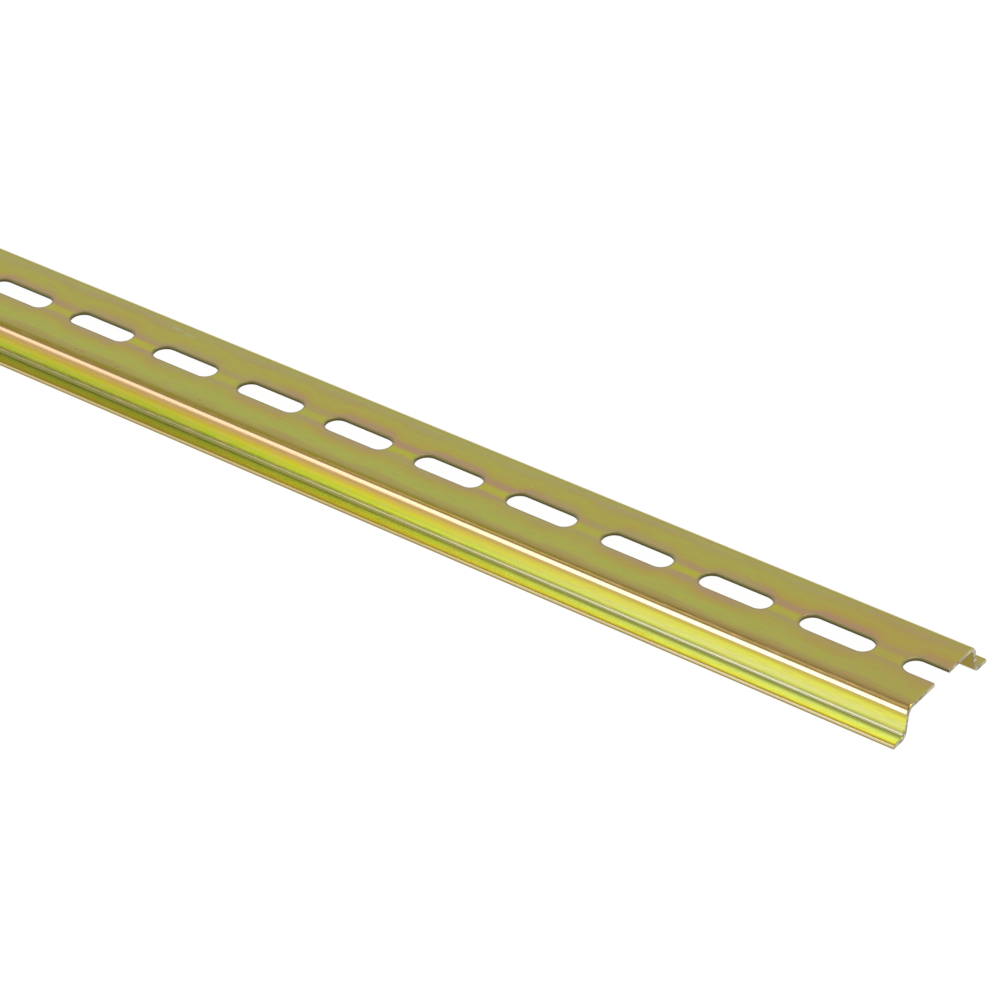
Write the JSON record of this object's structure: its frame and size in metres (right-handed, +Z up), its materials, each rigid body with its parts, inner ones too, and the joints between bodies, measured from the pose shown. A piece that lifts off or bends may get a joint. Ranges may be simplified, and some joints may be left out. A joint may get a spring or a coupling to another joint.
{
  "type": "din rail",
  "caption": "Slotted steel top-hat rail with yellow zinc finish, for clipping electrical devices to a panel.",
  "frame": {"origin": "middle of the rail's footprint, on the surface that its flanges rest on", "axes": "+X along the rail, +Y across it to the far flange, +Z up out of the web's outer face"},
  "size_m": [1, 0.035, 0.0075],
  "materials": {
    "yellow_zinc": "steel strip, zinc plated and yellow passivated: olive gold with faint green, pink and brown bands, satin sheen"
  },
  "bodies": {
    "root": {"rail": "yellow_zinc"}
  },
  "joints": []
}
